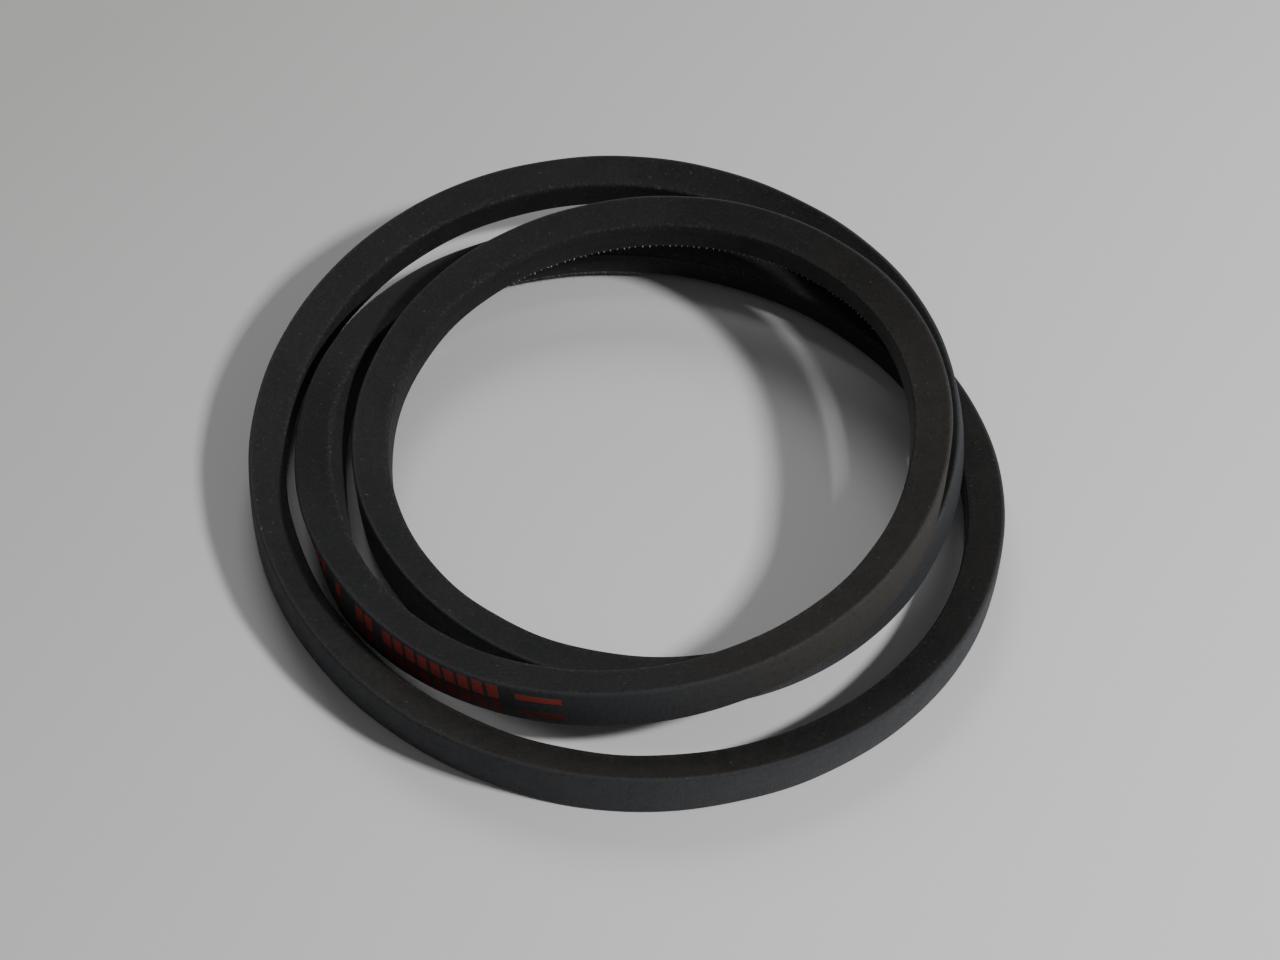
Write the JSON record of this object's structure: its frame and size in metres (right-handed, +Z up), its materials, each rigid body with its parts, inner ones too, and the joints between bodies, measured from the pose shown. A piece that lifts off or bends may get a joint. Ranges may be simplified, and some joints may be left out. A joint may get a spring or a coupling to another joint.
{
  "type": "v belt",
  "caption": "Endless wrapped classical V belt of A section, fabric covered with cord and rubber core, lying relaxed in a coil.",
  "frame": {"origin": "middle of the coil's footprint, on the surface it lies on", "axes": "+Z up out of that surface; +Y away from the viewer of the front, where the marked strand faces; +X to the right"},
  "size_m": [0.1752, 0.1786, 0.0351],
  "materials": {
    "cover_fabric": "matt woven fabric rubbed with rubber",
    "cover_fabric_inner": "matt woven fabric rubbed with rubber",
    "tension_rubber": "matt",
    "cord_gum": "matt",
    "compression_rubber": "matt",
    "tensile_cord": "twisted polyester cord",
    "red_ink": "worn matt ink",
    "faint_ink": "faint double strike of the same ink"
  },
  "bodies": {
    "root": {"cover_outer_ply": "cover_fabric", "cover_inner_ply": "cover_fabric_inner", "tension_rubber": "tension_rubber", "cord_gum_upper": "cord_gum", "cord_gum_lower": "cord_gum", "compression_rubber": "compression_rubber", "tensile_cord": "tensile_cord", "ink_code_upper": "red_ink", "ink_band_upper": "red_ink", "ink_bar_upper": "red_ink", "ink_code_lower": "faint_ink", "ink_band_lower": "faint_ink", "ink_bar_lower": "faint_ink"}
  },
  "joints": []
}
